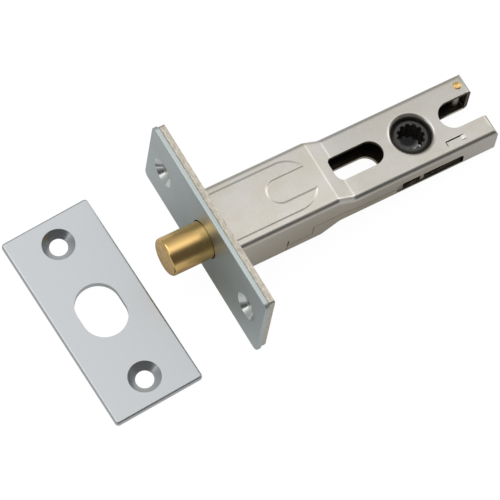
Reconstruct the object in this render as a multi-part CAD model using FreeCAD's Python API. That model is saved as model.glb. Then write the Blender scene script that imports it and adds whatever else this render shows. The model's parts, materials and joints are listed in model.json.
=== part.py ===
"""Mortice privacy bolt with a 60 mm backset, and its strike plate.

A round brass bolt is thrown through a two-layer forend. A flat steel slide
is riveted under its tail and runs on the floor of a folded case, made of a
top and a bottom shell. The black follower has a lever that works between two
lugs of the slide, so a quarter turn of the privacy snib throws or draws the
bolt. The lugs stand out into a window in the case's side, whose ends stop
them at both ends of the throw.

Frame: the origin is the centre of the forend's outer face, on the bolt's
axis. +X runs from the forend back along the case, +Y along the forend, and
+Z out of the case's wide face. The bolt is modelled thrown. Millimetres.
"""

import FreeCAD
import Part
import math
import os

from FreeCAD import Vector

# Forend: a satin cover plate over a plated steel back plate
FACE_LENGTH = 57.0
FACE_WIDTH = 25.0
COVER_THICK = 1.35
COVER_CORNER = 1.8
COVER_EDGE_ROUND = 0.35
SEAM_CHAMFER = 0.2
BACK_PLATE_LENGTH = 55.6
BACK_PLATE_WIDTH = 24.8
BACK_PLATE_THICK = 1.65
BACK_PLATE_CORNER = 0.8
SCREW_SPACING = 42.0
SCREW_HOLE_DIA = 4.8
SCREW_HEAD_DIA = 8.0

# Case, folded from sheet: a deep nose behind the forend, then a slim body
SHEET = 1.0
BEND_ROUND = 1.5
CASE_WIDTH = 19.3
NOSE_DEPTH = 15.4
BODY_DEPTH = 9.4
BACKSET = 60.0
CASE_TAIL = 20.2
TOP_RAMP_START = 33.1
TOP_RAMP_RUN = 5.0
BOTTOM_RAMP_START = 29.6
BOTTOM_RAMP_RUN = 5.0
RAMP_ROUND = 1.6
SEAM_GAP = 0.15

# Raised panel pressed into the top of the nose
PANEL_MARGIN = 2.1
PANEL_FROM_PLATE = 0.5
PANEL_CENTRE_TO_RAMP = 9.6
PANEL_RISE = 0.22
PANEL_SLOPE = 0.8
PANEL_STEPS = 5
PANEL_CORNER = 1.3
PANEL_NOTCH_WIDTH = 6.0
PANEL_NOTCH_DEPTH = 2.5

# Openings for the door furniture, placed from the spindle's centre
FIX_SLOT_OFFSET = 16.15
FIX_SLOT_LENGTH = 14.8
FIX_SLOT_WIDTH = 7.0
FIX_SLOT_CORNER = 2.0
END_SLOT_OFFSET = 12.35
END_SLOT_WIDTH = 7.7
COLLAR_DEPTH = 1.5
LOWER_COLLAR_DEPTH = 1.1
COLLAR_ROUND = 1.1

# Window in the side wall for the lever's tip and the slide's lugs
WINDOW_TOP = 0.6
WINDOW_UNDER_STOP = 0.1
WINDOW_CORNER = 1.1

# Seam between the two shells, as levels and stations seen from the side
SEAM_STEP_1 = 18.8
SEAM_STEP_2 = 26.1
SEAM_LEVEL_1 = -3.7
SEAM_LEVEL_2 = -0.1
SEAM_LEVEL_3 = -1.1
RELIEF_SLIT_TOP = -1.3
RELIEF_SLIT_WIDTH = 0.35

# Lanced tab in the top shell beside the end slot, bent down at its front
LANCE_OFFSET = 9.1
LANCE_LENGTH = 5.3
LANCE_FROM_SIDE = 3.02
LANCE_WIDTH = 1.5
LANCE_CUT = 0.32
LANCE_NEAR_CUT = 0.06
LANCE_DROP = 0.75
LANCE_CREST = 0.28
LANCE_BEND = 1.3

# Staking tabs that hold the shells in the back plate
TAB_WIDTH = 6.0
TAB_CLEARANCE = 0.08

# Rear rivet and the spacer that it clamps
RIVET_DIA = 2.2
RIVET_FROM_END = 2.6
RIVET_FROM_SIDE = 3.02
RIVET_CROWN = 0.22
SPACER_DIA = 3.1

# Bolt
BOLT_DIA = 10.2
BOLT_LENGTH = 33.3
BOLT_THROW = 11.5
BOLT_NOSE_ROUND = 0.8
BOLT_PLATE_GAP = 0.5
BOLT_FLAT_LENGTH = 9.5
BOLT_RIVET_DIA = 2.5
BOLT_RIVET_HEAD_DIA = 3.8
BOLT_RIVET_HEAD = 0.8
BOLT_RIVET_FROM_END = 4.8
BOLT_RIVET_SINK = 0.1

# Guide block in the nose
GUIDE_FLANGE = 2.0
GUIDE_WALL = 1.35
GUIDE_CLEARANCE = 0.08
GUIDE_PAST_TAIL = 0.1

# Slide: a flat plate on the floor of the case, with two lugs
SLIDE_THICK = 0.8
SLIDE_CLEARANCE = 0.25
SLIDE_FLOOR_GAP = 0.1
SLIDE_CROSSBAR = 2.3
SLIDE_TONGUE_WIDTH = 6.0
SLIDE_CORNER = 0.6
RAIL_TO_SLOT = 0.5
STRIP_WIDTH = 1.6
COLLAR_GAP = 0.2
STOP_GAP = 0.12
FRONT_LUG_WIDTH = 1.75
REAR_LUG_WIDTH = 3.2
REAR_STOP_WIDTH = 1.05
LUG_TOP = -0.1
LUG_CORNER = 0.5
LUG_INSET = 0.3

# Follower, with a lever whose round tip sits between the lugs
JOURNAL_DIA = 10.4
JOURNAL_CLEARANCE = 0.07
JOURNAL_RECESS = 1.3
JOURNAL_CHAMFER = 0.9
JOURNAL_ROUND = 0.45
SOCKET_DIA = 7.3
SOCKET_RIBS = 12
SOCKET_RIB_DIA = 0.95
FOLLOWER_END_PLAY = 0.08
SHOULDER_DIA = 12.4
SHOULDER_ABOVE_LEVER = 0.2
LEVER_TURN = 90.0
LEVER_NECK = 1.6
LEVER_TIP_DIA = 2.2
LEVER_TIP_PLAY = 0.4
LEVER_WINDOW_GAP = 0.3
LEVER_HUB_GAP = 0.4

# Friction spring, a bent strip fixed under the roof of the body
SPRING_THICK = 0.3
SPRING_WIDTH = 1.4
SPRING_FOOT = 3.5
SPRING_ARM = 8.0
SPRING_LIP = 1.2
SPRING_CLEARANCE = 0.04

# Strike plate, lying on the surface that the bolt rests on
STRIKE_THICK = 2.0
STRIKE_HEAD_DIA = 8.6
STRIKE_CORNER = 0.9
STRIKE_EDGE_ROUND = 0.6
STRIKE_HOLE_WIDTH = 11.9
STRIKE_HOLE_LENGTH = 15.2
STRIKE_AHEAD = 28.35
STRIKE_SIDEWAYS = 0.0
STRIKE_TURN = 1.75

# Places worked out from the sizes above
PLATE_BACK = COVER_THICK + BACK_PLATE_THICK
CASE_END = BACKSET + CASE_TAIL
HALF_WIDTH = CASE_WIDTH / 2
INNER_HALF = HALF_WIDTH - SHEET
NOSE_TOP = NOSE_DEPTH / 2
BODY_TOP = BODY_DEPTH / 2
NOSE_ROOF = NOSE_TOP - SHEET
BODY_ROOF = BODY_TOP - SHEET
COLLAR_END = BODY_ROOF - COLLAR_DEPTH
LOWER_COLLAR_END = -BODY_ROOF + LOWER_COLLAR_DEPTH
COLLAR_RADIUS = JOURNAL_DIA / 2 + JOURNAL_CLEARANCE + SHEET
BOLT_NOSE = -BOLT_THROW
BOLT_TAIL = BOLT_NOSE + BOLT_LENGTH
BOLT_RIVET_X = BOLT_TAIL - BOLT_RIVET_FROM_END
RIVET_X = CASE_END - RIVET_FROM_END
RIVET_Y = HALF_WIDTH - RIVET_FROM_SIDE
LANCE_X = BACKSET + LANCE_OFFSET
LANCE_Y = -(HALF_WIDTH - LANCE_FROM_SIDE)
FIX_SLOT_FRONT = BACKSET - FIX_SLOT_OFFSET - FIX_SLOT_LENGTH / 2
SLIDE_LOW = -BODY_ROOF + SLIDE_FLOOR_GAP
SLIDE_TOP = SLIDE_LOW + SLIDE_THICK
WINDOW_BOTTOM = SLIDE_TOP - WINDOW_UNDER_STOP
SLIDE_SIDE = INNER_HALF - SLIDE_CLEARANCE
RAIL_INSIDE = FIX_SLOT_WIDTH / 2 + RAIL_TO_SLOT
HALF_TURN = math.radians(LEVER_TURN / 2)
LEVER_REACH = BOLT_THROW / 2 / math.sin(HALF_TURN)
NOTCH_MIDDLE = BACKSET - BOLT_THROW / 2
NOTCH_HALF = LEVER_TIP_DIA / 2 + LEVER_TIP_PLAY
FRONT_LUG = (NOTCH_MIDDLE - NOTCH_HALF - FRONT_LUG_WIDTH, NOTCH_MIDDLE - NOTCH_HALF)
REAR_LUG = (NOTCH_MIDDLE + NOTCH_HALF, NOTCH_MIDDLE + NOTCH_HALF + REAR_LUG_WIDTH)
WINDOW_START = FRONT_LUG[0] - STOP_GAP
WINDOW_END = REAR_LUG[1] + BOLT_THROW + STOP_GAP
GUIDE_END = BOLT_TAIL + GUIDE_PAST_TAIL
BEYOND = 5.0
SKIN = 0.02
NEAR = 1e-6

X_AXIS = Vector(1, 0, 0)
Y_AXIS = Vector(0, 1, 0)
Z_AXIS = Vector(0, 0, 1)


def box(x0, x1, y0, y1, z0, z1):
    """A block between two corners."""
    return Part.makeBox(x1 - x0, y1 - y0, z1 - z0, Vector(x0, y0, z0))


def rod_x(radius, x0, x1, y=0.0, z=0.0):
    return Part.makeCylinder(radius, x1 - x0, Vector(x0, y, z), X_AXIS)


def rod_z(radius, z0, z1, x=0.0, y=0.0):
    return Part.makeCylinder(radius, z1 - z0, Vector(x, y, z0), Z_AXIS)


def side_prism(points, y0, y1):
    """A prism over an outline of (x, z) points, from y0 to y1."""
    corners = [Vector(x, y0, z) for x, z in points]
    wire = Part.makePolygon(corners + [corners[0]])
    return Part.Face(wire).extrude(Vector(0, y1 - y0, 0))


def plan_prism(points, z0, z1):
    """A prism over an outline of (x, y) points, from z0 to z1."""
    corners = [Vector(x, y, z0) for x, y in points]
    wire = Part.makePolygon(corners + [corners[0]])
    return Part.Face(wire).extrude(Vector(0, 0, z1 - z0))


def slot_z(x0, x1, width, z0, z1):
    """A round-ended slot along X, cut along Z."""
    radius = width / 2
    middle = box(x0 + radius, x1 - radius, -radius, radius, z0, z1)
    ends = [rod_z(radius, z0, z1, x) for x in (x0 + radius, x1 - radius)]
    return middle.fuse(ends).removeSplitter()


def edges_where(shape, test):
    """The edges whose middle point passes a test."""
    found = []
    for edge in shape.Edges:
        middle = edge.valueAt((edge.FirstParameter + edge.LastParameter) / 2)
        if test(middle, edge):
            found.append(edge)
    return found


def along(edge, axis):
    """Whether a straight edge runs along an axis."""
    if edge.Curve.TypeId != "Part::GeomLine":
        return False
    return edge.tangentAt(edge.FirstParameter).cross(axis).Length < NEAR


def plate(length, width, thick, corner, x0):
    """A plate across X with rounded corners, its front face at x0."""
    slab = box(x0, x0 + thick, -length / 2, length / 2, -width / 2, width / 2)
    return slab.makeFillet(corner, edges_where(slab, lambda p, e: along(e, X_AXIS)))


def countersink(head_dia, hole_dia, face, direction):
    """A countersunk hole along X, its wide mouth on the plane x = face."""
    depth = (head_dia - hole_dia) / 2
    start = Vector(face, 0, 0)
    cone = Part.makeCone(head_dia / 2, hole_dia / 2, depth, start, direction)
    mouth = Part.makeCylinder(head_dia / 2, BEYOND, start, direction * -1)
    hole = Part.makeCylinder(hole_dia / 2, BEYOND * 2, start, direction)
    return cone.fuse([mouth, hole])


def screw_positions():
    return [-SCREW_SPACING / 2, SCREW_SPACING / 2]


def screw_cutters():
    sink = countersink(SCREW_HEAD_DIA, SCREW_HOLE_DIA, 0.0, X_AXIS)
    return [sink.translated(Vector(0, y, 0)) for y in screw_positions()]


def make_cover_plate():
    body = plate(FACE_LENGTH, FACE_WIDTH, COVER_THICK, COVER_CORNER, 0.0)
    front = edges_where(body, lambda p, e: abs(p.x) < NEAR)
    body = body.makeFillet(COVER_EDGE_ROUND, front)
    rear = edges_where(body, lambda p, e: abs(p.x - COVER_THICK) < NEAR)
    body = body.makeChamfer(SEAM_CHAMFER, rear)
    hole = rod_x(BOLT_DIA / 2 + BOLT_PLATE_GAP, -BEYOND, BEYOND)
    return body.cut([hole] + screw_cutters())


def tab_blocks(grow):
    """The four staking tabs, or their slots when grown by a clearance."""
    front = COVER_THICK - grow
    half = TAB_WIDTH / 2 + grow
    near = INNER_HALF - grow
    far = HALF_WIDTH + grow
    low = NOSE_ROOF - grow
    high = NOSE_TOP + grow
    back = PLATE_BACK + SHEET
    return {
        "left": box(front, back, near, far, -half, half),
        "right": box(front, back, -far, -near, -half, half),
        "top": box(front, back, -half, half, low, high),
        "bottom": box(front, back, -half, half, -high, -low),
    }


def make_back_plate():
    body = plate(
        BACK_PLATE_LENGTH, BACK_PLATE_WIDTH, BACK_PLATE_THICK, BACK_PLATE_CORNER, COVER_THICK
    )
    front = edges_where(body, lambda p, e: abs(p.x - COVER_THICK) < NEAR)
    body = body.makeChamfer(SEAM_CHAMFER, front)
    hole = rod_x(BOLT_DIA / 2 + BOLT_PLATE_GAP / 2, -BEYOND, BEYOND)
    slots = list(tab_blocks(TAB_CLEARANCE).values())
    return body.cut([hole] + slots + screw_cutters())


def case_profile(inset, front, end):
    """The case's side outline, moved inwards by the sheet for the inside."""
    nose, body = NOSE_TOP - inset, BODY_TOP - inset
    shift = inset * math.tan(math.atan2(NOSE_TOP - BODY_TOP, TOP_RAMP_RUN) / 2)
    top_start = TOP_RAMP_START - shift
    top_end = TOP_RAMP_START + TOP_RAMP_RUN - shift
    low_start = BOTTOM_RAMP_START - shift
    low_end = BOTTOM_RAMP_START + BOTTOM_RAMP_RUN - shift
    return [
        (front, nose),
        (top_start, nose),
        (top_end, body),
        (end, body),
        (end, -body),
        (low_end, -body),
        (low_start, -nose),
        (front, -nose),
    ]


def case_blank():
    """The closed case before it is split: a tube with a rear wall."""
    outer = side_prism(case_profile(0.0, PLATE_BACK, CASE_END), -HALF_WIDTH, HALF_WIDTH)
    ramps = edges_where(
        outer,
        lambda p, e: along(e, Y_AXIS) and PLATE_BACK + NEAR < p.x < CASE_END - NEAR,
    )
    outer = outer.makeFillet(RAMP_ROUND, ramps)
    rims = edges_where(
        outer,
        lambda p, e: abs(abs(p.y) - HALF_WIDTH) < NEAR and PLATE_BACK + NEAR < p.x < CASE_END - NEAR,
    )
    ends = edges_where(outer, lambda p, e: along(e, Y_AXIS) and abs(p.x - CASE_END) < NEAR)
    outer = outer.makeFillet(BEND_ROUND, rims + ends)
    inner = side_prism(
        case_profile(SHEET, PLATE_BACK - BEYOND, CASE_END - SHEET), -INNER_HALF, INNER_HALF
    )
    return outer.cut(inner)


def panel_outline(inset, z):
    """The raised panel's outline, drawn in by an inset for its top."""
    half = HALF_WIDTH - PANEL_MARGIN - inset
    front = PLATE_BACK + PANEL_FROM_PLATE + inset
    centre = TOP_RAMP_START - PANEL_CENTRE_TO_RAMP
    corner = PANEL_CORNER - inset
    notch = PANEL_NOTCH_WIDTH / 2 + inset
    notch_x = centre - PANEL_NOTCH_DEPTH
    tip_x = centre + math.sqrt(half ** 2 - notch ** 2)
    diagonal = math.sqrt(0.5)
    shoulder = math.atan2(notch, tip_x - centre) / 2 + math.pi / 4
    arc_x = centre + half * math.cos(shoulder)
    arc_y = half * math.sin(shoulder)

    def at(x, y):
        return Vector(x, y, z)

    corner_mid = corner * (1 - diagonal)
    edges = [
        Part.makeLine(at(front, -half + corner), at(front, half - corner)),
        Part.Arc(
            at(front, half - corner),
            at(front + corner_mid, half - corner_mid),
            at(front + corner, half),
        ).toShape(),
        Part.makeLine(at(front + corner, half), at(centre, half)),
        Part.Arc(at(centre, half), at(arc_x, arc_y), at(tip_x, notch)).toShape(),
        Part.makeLine(at(tip_x, notch), at(notch_x, notch)),
        Part.Arc(at(notch_x, notch), at(notch_x - notch, 0), at(notch_x, -notch)).toShape(),
        Part.makeLine(at(notch_x, -notch), at(tip_x, -notch)),
        Part.Arc(at(tip_x, -notch), at(arc_x, -arc_y), at(centre, -half)).toShape(),
        Part.makeLine(at(centre, -half), at(front + corner, -half)),
        Part.Arc(
            at(front + corner, -half),
            at(front + corner_mid, -half + corner_mid),
            at(front, -half + corner),
        ).toShape(),
    ]
    return Part.Wire(edges)


def raised_panel():
    """The panel as a solid on the nose's top, its pressed sides rising in an S."""
    rings = []
    for k in range(PANEL_STEPS + 1):
        share = k / PANEL_STEPS
        rise = PANEL_RISE * (1 - math.cos(math.pi * share)) / 2
        rings.append(panel_outline(PANEL_SLOPE * share, NOSE_TOP + rise))
    slope = Part.makeLoft(rings, True, True)
    sink = Part.Face(rings[0]).extrude(Vector(0, 0, -SHEET / 4))
    return slope.fuse(sink)


def panel_hollow():
    """The matching hollow under the panel, as pressing leaves it."""
    floor = panel_outline(PANEL_SLOPE, NOSE_ROOF - BEYOND / 2)
    return Part.Face(floor).extrude(Vector(0, 0, BEYOND / 2 + PANEL_RISE))


def seam_line(side):
    """The stepped seam from front to back, half a gap above (1) or below (-1) its middle."""
    rise = side * SEAM_GAP / 2
    step = SEAM_GAP - rise
    return [
        (PLATE_BACK - BEYOND, -NOSE_ROOF + rise),
        (SEAM_STEP_1 + step, -NOSE_ROOF + rise),
        (SEAM_STEP_1 + step, SEAM_LEVEL_1 + rise),
        (SEAM_STEP_2 + step, SEAM_LEVEL_1 + rise),
        (SEAM_STEP_2 + step, SEAM_LEVEL_2 + rise),
        (TOP_RAMP_START + TOP_RAMP_RUN / 2, SEAM_LEVEL_2 + rise),
        (TOP_RAMP_START + TOP_RAMP_RUN * 3 / 2, SEAM_LEVEL_3 + rise),
        (WINDOW_END + rise, SEAM_LEVEL_3 + rise),
        (WINDOW_END + rise, -BODY_ROOF + rise),
        (CASE_END - SHEET + rise, -BODY_ROOF + rise),
        (CASE_END - SHEET + rise, -NOSE_TOP - BEYOND),
    ]


def upper_region():
    """Everything above the seam, as seen from the side."""
    around = [
        (CASE_END + BEYOND, -NOSE_TOP - BEYOND),
        (CASE_END + BEYOND, NOSE_TOP + BEYOND),
        (PLATE_BACK - BEYOND, NOSE_TOP + BEYOND),
    ]
    return side_prism(seam_line(1) + around, -CASE_WIDTH, CASE_WIDTH)


def lower_region():
    """Everything below the seam, as seen from the side."""
    around = [(PLATE_BACK - BEYOND, -NOSE_TOP - BEYOND)]
    return side_prism(seam_line(-1) + around, -CASE_WIDTH, CASE_WIDTH)


def fix_slot(z0, z1):
    """The slot for the furniture's fixing screws: round behind, blunt in front."""
    end = FIX_SLOT_FRONT + FIX_SLOT_LENGTH
    half = FIX_SLOT_WIDTH / 2
    block = box(FIX_SLOT_FRONT, end - half, -half, half, z0, z1)
    front = edges_where(block, lambda p, e: along(e, Z_AXIS) and p.x < FIX_SLOT_FRONT + NEAR)
    block = block.makeFillet(FIX_SLOT_CORNER, front)
    return block.fuse(rod_z(half, z0, z1, end - half)).removeSplitter()


def furniture_cutters():
    """The fixing slot and the open slot in the case's end."""
    deep = NOSE_TOP + BEYOND
    end_front = BACKSET + END_SLOT_OFFSET - END_SLOT_WIDTH / 2
    end_back = CASE_END + BEYOND + END_SLOT_WIDTH
    end = slot_z(end_front, end_back, END_SLOT_WIDTH, -deep, deep)
    return [fix_slot(-deep, deep), end]


def collar(side):
    """A ring turned in round the follower's hole, on the roof or the floor."""
    if side > 0:
        return rod_z(COLLAR_RADIUS, COLLAR_END, BODY_TOP - SHEET / 2, BACKSET)
    return rod_z(COLLAR_RADIUS, -BODY_TOP + SHEET / 2, LOWER_COLLAR_END, BACKSET)


def collar_bore(side):
    """The follower's hole, its lip rounded over like a drawn edge."""
    radius = JOURNAL_DIA / 2 + JOURNAL_CLEARANCE
    lip = COLLAR_ROUND
    fall = lip * (1 - math.sqrt(0.5))

    def at(r, z):
        return Vector(BACKSET + r, 0, z)

    corners = [
        at(radius + lip, BODY_TOP),
        at(radius + lip, BODY_TOP + BEYOND),
        at(0, BODY_TOP + BEYOND),
        at(0, 0),
        at(radius, 0),
        at(radius, BODY_TOP - lip),
    ]
    sides = [Part.makeLine(a, b) for a, b in zip(corners, corners[1:])]
    rim = Part.Arc(corners[-1], at(radius + fall, BODY_TOP - fall), corners[0]).toShape()
    bore = Part.Face(Part.Wire(sides + [rim])).revolve(Vector(BACKSET, 0, 0), Z_AXIS, 360)
    if side < 0:
        bore = bore.mirror(Vector(0, 0, 0), Z_AXIS)
    return bore


def side_window():
    """The long window in one side wall, its upper corners rounded."""
    outside = -HALF_WIDTH - BEYOND
    window = box(WINDOW_START, WINDOW_END, outside, -INNER_HALF + SKIN, WINDOW_BOTTOM, WINDOW_TOP)
    corners = edges_where(window, lambda p, e: along(e, Y_AXIS) and p.z > WINDOW_TOP - NEAR)
    return window.makeFillet(WINDOW_CORNER, corners)


def relief_slits():
    """A narrow slit up each side wall, where the fold of the top shell steps."""
    x0 = SEAM_STEP_1 + SEAM_GAP / 2
    x1 = x0 + RELIEF_SLIT_WIDTH
    low = SEAM_LEVEL_1 - SHEET / 2
    walls = [(-HALF_WIDTH, -INNER_HALF), (INNER_HALF, HALF_WIDTH)]
    return [box(x0, x1, y0 - SKIN, y1 + SKIN, low, RELIEF_SLIT_TOP) for y0, y1 in walls]


def rivet_hole():
    return rod_z(RIVET_DIA / 2 + SKIN, -BEYOND * 2, BEYOND * 2, RIVET_X, RIVET_Y)


def lance_hole():
    """The cut round the lanced tab, and the room that it is bent down into."""
    x0 = LANCE_X - LANCE_LENGTH / 2
    half = LANCE_WIDTH / 2
    return box(x0, x0 + LANCE_LENGTH, LANCE_Y - half, LANCE_Y + half, 0, BODY_TOP + BEYOND)


def lanced_tab():
    """The tongue in the cut: bent up in a crest at its root, then down to its front end."""
    x0 = LANCE_X - LANCE_LENGTH / 2 + LANCE_CUT
    root = LANCE_X + LANCE_LENGTH / 2
    crest = root - LANCE_BEND / 3
    foot = root - LANCE_BEND
    upper = [
        (root + SHEET / 2, 0.0),
        (root, LANCE_CREST / 2),
        (crest, LANCE_CREST),
        (foot, -LANCE_DROP / 2),
        (x0, -LANCE_DROP),
    ]
    top = [(x, BODY_TOP + z) for x, z in upper]
    under = [(x, BODY_ROOF + min(z, 0.0)) for x, z in reversed(upper)]
    near = LANCE_Y - LANCE_WIDTH / 2 + LANCE_NEAR_CUT
    far = LANCE_Y + LANCE_WIDTH / 2 - LANCE_CUT
    return side_prism(top + under, near, far)


def make_top_shell():
    shell = case_blank().fuse(raised_panel()).cut(panel_hollow())
    shell = shell.common(upper_region())
    tabs = tab_blocks(0.0)
    shell = shell.fuse([tabs["left"], tabs["right"], tabs["top"], collar(1)])
    cutters = furniture_cutters() + relief_slits() + [side_window(), collar_bore(1)]
    shell = shell.cut(cutters + [lance_hole(), rivet_hole()])
    return shell.fuse(lanced_tab()).removeSplitter()


def make_bottom_shell():
    shell = case_blank().common(lower_region())
    shell = shell.fuse([tab_blocks(0.0)["bottom"], collar(-1)])
    cutters = furniture_cutters() + [side_window(), collar_bore(-1), rivet_hole()]
    return shell.cut(cutters).removeSplitter()


def make_rear_spacer():
    body = rod_z(SPACER_DIA / 2, -BODY_ROOF, BODY_ROOF, RIVET_X, RIVET_Y)
    return body.cut(rivet_hole())


def make_rear_rivet():
    radius = RIVET_DIA / 2
    shank = rod_z(radius, -BODY_TOP, BODY_TOP, RIVET_X, RIVET_Y)
    dome_radius = (radius ** 2 + RIVET_CROWN ** 2) / (2 * RIVET_CROWN)
    crowns = []
    for side in (-1, 1):
        centre = Vector(RIVET_X, RIVET_Y, side * (BODY_TOP + RIVET_CROWN - dome_radius))
        ball = Part.makeSphere(dome_radius, centre)
        z0, z1 = sorted((side * (BODY_TOP - SKIN), side * (BODY_TOP + RIVET_CROWN)))
        crowns.append(ball.common(rod_z(radius, z0, z1, RIVET_X, RIVET_Y)))
    return shank.fuse(crowns).removeSplitter()


def make_bolt():
    body = rod_x(BOLT_DIA / 2, BOLT_NOSE, BOLT_TAIL)
    nose = edges_where(body, lambda p, e: abs(p.x - BOLT_NOSE) < NEAR)
    body = body.makeFillet(BOLT_NOSE_ROUND, nose)
    front, back = BOLT_TAIL - BOLT_FLAT_LENGTH, BOLT_TAIL + BEYOND
    flat = box(front, back, -BOLT_DIA, BOLT_DIA, -BOLT_DIA, SLIDE_TOP + SKIN)
    return body.cut([flat, bolt_rivet_hole()])


def bolt_rivet_hole():
    return rod_z(BOLT_RIVET_DIA / 2 + SKIN, -BOLT_DIA, BOLT_DIA, BOLT_RIVET_X)


def make_bolt_rivet():
    """The rivet that holds the slide on the flat under the bolt's tail."""
    radius = BOLT_RIVET_DIA / 2
    low = SLIDE_LOW - BOLT_RIVET_HEAD
    top = math.sqrt((BOLT_DIA / 2) ** 2 - radius ** 2) - BOLT_RIVET_SINK
    shank = rod_z(radius, low, top, BOLT_RIVET_X)
    head = rod_z(BOLT_RIVET_HEAD_DIA / 2, low, SLIDE_LOW - SKIN, BOLT_RIVET_X)
    return shank.fuse(head).removeSplitter()


def make_guide_block():
    """A moulded sleeve with a square flange at each end."""
    start, end = PLATE_BACK, GUIDE_END
    bore = BOLT_DIA / 2 + GUIDE_CLEARANCE
    sleeve = rod_x(bore + GUIDE_WALL, start, end)
    side = INNER_HALF - GUIDE_CLEARANCE
    high = NOSE_ROOF - GUIDE_CLEARANCE
    front = box(start, start + GUIDE_FLANGE, -side, side, -high, high)
    rear = box(end - GUIDE_FLANGE, end, -side, side, -high, high)
    return sleeve.fuse([front, rear]).cut(rod_x(bore, start - BEYOND, end + BEYOND)).removeSplitter()


def slide_lug(x0, x1, stop0):
    """One lug: a block over the strip, with a stop that stands in the window."""
    inner = -(JOURNAL_DIA / 2 + LEVER_HUB_GAP)
    over_collar = LOWER_COLLAR_END + COLLAR_GAP
    head = box(x0, x1, -SLIDE_SIDE, inner, over_collar, LUG_TOP)
    ends = edges_where(head, lambda p, e: along(e, Z_AXIS) and p.y > inner - NEAR)
    head = head.makeFillet(LUG_CORNER, ends)
    foot = box(x0, x1, -SLIDE_SIDE, -SLIDE_SIDE + STRIP_WIDTH, SLIDE_LOW, over_collar)
    stop = box(stop0, x1, -HALF_WIDTH + LUG_INSET, -SLIDE_SIDE, SLIDE_TOP, LUG_TOP)
    top = edges_where(stop, lambda p, e: along(e, Y_AXIS) and p.z > LUG_TOP - NEAR)
    stop = stop.makeFillet(LUG_CORNER - SKIN, top)
    return head.fuse([foot, stop])


def make_slide():
    """The plate: a tongue under the bolt, a crossbar, two rails and the lugs."""
    bar_front = GUIDE_END + STOP_GAP
    bar_back = bar_front + SLIDE_CROSSBAR
    rail_end = BACKSET - COLLAR_RADIUS - BOLT_THROW - COLLAR_GAP
    tongue_front = BOLT_TAIL - BOLT_FLAT_LENGTH + SLIDE_CLEARANCE
    tongue_half = SLIDE_TONGUE_WIDTH / 2
    strip_inside = -SLIDE_SIDE + STRIP_WIDTH
    outline = [
        (tongue_front, -tongue_half),
        (bar_front, -tongue_half),
        (bar_front, -SLIDE_SIDE),
        (REAR_LUG[1], -SLIDE_SIDE),
        (REAR_LUG[1], strip_inside),
        (rail_end, strip_inside),
        (rail_end, -RAIL_INSIDE),
        (bar_back, -RAIL_INSIDE),
        (bar_back, RAIL_INSIDE),
        (rail_end, RAIL_INSIDE),
        (rail_end, SLIDE_SIDE),
        (bar_front, SLIDE_SIDE),
        (bar_front, tongue_half),
        (tongue_front, tongue_half),
    ]
    body = plan_prism(outline, SLIDE_LOW, SLIDE_TOP)
    inside = edges_where(body, lambda p, e: along(e, Z_AXIS) and abs(p.x - bar_back) < NEAR)
    body = body.makeFillet(SLIDE_CORNER, inside)
    lugs = [slide_lug(*FRONT_LUG, FRONT_LUG[0]), slide_lug(*REAR_LUG, REAR_LUG[1] - REAR_STOP_WIDTH)]
    return body.fuse(lugs).cut(bolt_rivet_hole()).removeSplitter()


def socket_cutter():
    """The splined socket for the snib's spindle, with rounded ribs."""
    reach = BODY_TOP + BEYOND
    socket = rod_z(SOCKET_DIA / 2, -reach, reach, BACKSET)
    ribs = []
    for k in range(SOCKET_RIBS):
        angle = 2 * math.pi * k / SOCKET_RIBS
        x = BACKSET + SOCKET_DIA / 2 * math.cos(angle)
        y = SOCKET_DIA / 2 * math.sin(angle)
        ribs.append(rod_z(SOCKET_RIB_DIA / 2, -reach, reach, x, y))
    return socket.cut(ribs)


def make_follower():
    """The follower: two journals, a thrust shoulder and the lever."""
    top = BODY_TOP - JOURNAL_RECESS
    low = LOWER_COLLAR_END + FOLLOWER_END_PLAY
    high = WINDOW_TOP - LEVER_WINDOW_GAP
    barrel = rod_z(JOURNAL_DIA / 2, -top, top, BACKSET)
    barrel = barrel.makeChamfer(JOURNAL_CHAMFER, edges_where(barrel, lambda p, e: abs(p.z - top) < NEAR))
    barrel = barrel.makeFillet(JOURNAL_ROUND, edges_where(barrel, lambda p, e: abs(p.z + top) < NEAR))
    shoulder = rod_z(
        SHOULDER_DIA / 2, high + SHOULDER_ABOVE_LEVER, COLLAR_END - FOLLOWER_END_PLAY, BACKSET
    )
    arm = box(BACKSET - LEVER_NECK / 2, BACKSET + LEVER_NECK / 2, -LEVER_REACH, 0, low, high)
    tip = rod_z(LEVER_TIP_DIA / 2, low, high, BACKSET, -LEVER_REACH)
    lever = arm.fuse(tip)
    lever.rotate(Vector(BACKSET, 0, 0), Z_AXIS, -LEVER_TURN / 2)
    return barrel.fuse([shoulder, lever]).cut(socket_cutter()).removeSplitter()


def make_friction_spring():
    """A bent strip: foot on the roof, arm down to the slide, turned-up lip."""
    roof = BODY_ROOF
    touch = SLIDE_TOP + SPRING_CLEARANCE
    foot_back = BACKSET - COLLAR_RADIUS - COLLAR_GAP
    foot_front = foot_back - SPRING_FOOT
    arm_front = foot_front - SPRING_ARM
    lip_front = arm_front - SPRING_LIP
    lip_rise = SPRING_LIP / 2
    centre_line = [
        (foot_back, roof),
        (foot_front, roof),
        (arm_front, touch + SPRING_THICK),
        (lip_front, touch + SPRING_THICK + lip_rise),
    ]
    lower = [(x, z - SPRING_THICK) for x, z in reversed(centre_line)]
    middle = (RAIL_INSIDE + SLIDE_SIDE) / 2
    return side_prism(centre_line + lower, middle - SPRING_WIDTH / 2, middle + SPRING_WIDTH / 2)


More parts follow.
